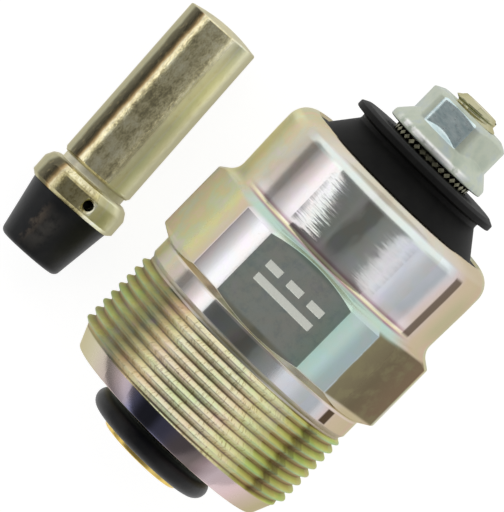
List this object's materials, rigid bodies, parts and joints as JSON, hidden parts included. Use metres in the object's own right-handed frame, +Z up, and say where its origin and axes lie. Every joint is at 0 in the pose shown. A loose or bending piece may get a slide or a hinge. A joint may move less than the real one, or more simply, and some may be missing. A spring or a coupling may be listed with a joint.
{
  "type": "fuel shutoff solenoid",
  "caption": "Screw-in solenoid with a hexagon, insulated stud terminal and brass guide tube, its rubber-tipped plunger lying beside it; closes a fuel passage.",
  "frame": {"origin": "on the solenoid's axis, where the thread meets the collar", "axes": "+X along the solenoid's axis from the guide tube's open end to the terminal, +Z up from the surface that the solenoid and its plunger lie on, +Y towards the plunger"},
  "size_m": [0.0435, 0.0385, 0.024],
  "materials": {
    "zinc_yellow": "yellow zinc plate, turned",
    "zinc_clear": "clear zinc plate",
    "steel": "bare turned steel",
    "brass": "bright drawn brass",
    "copper": "enamelled wire",
    "nickel": "nickel plate, scuffed",
    "rubber": "black, satin",
    "moulding": "black, matt",
    "natural_plastic": "natural, matt",
    "tape": "yellow film",
    "fibre": "pressed fibre"
  },
  "bodies": {
    "solenoid": {"housing": "zinc_yellow", "nose_bush": "zinc_clear", "guide_tube": "brass", "nose_o_ring": "rubber", "bobbin": "natural_plastic", "winding": "copper", "winding_tape": "tape", "fixed_core": "steel", "core_seal": "rubber", "return_spring": "steel", "curved_washer": "steel", "pole_plate": "steel", "insulating_disc": "fibre", "contact_lug": "brass", "live_lead": "copper", "earth_lead": "copper", "terminal_stud": "zinc_yellow", "terminal_insulator": "moulding", "insulator_seal": "rubber", "plunger": "nickel", "valve_tip": "rubber"},
    "washer": {"tooth_washer": "zinc_yellow"},
    "nut": {"terminal_nut": "zinc_clear"}
  },
  "joints": [
    {"name": "nut_travel", "type": "slide", "parent": "solenoid", "child": "washer", "axis": [1, 0, 0], "range_m": [0, 0.0032]},
    {"name": "nut_turn", "type": "hinge", "parent": "washer", "child": "nut", "pos_m": [0.02648, 0, 0], "axis": [1, 0, 0], "range_deg": [0, 1440]}
  ],
  "couplings": [
    {"joint": "nut_turn", "follows": "nut_travel", "rad_per_m": 7854}
  ]
}
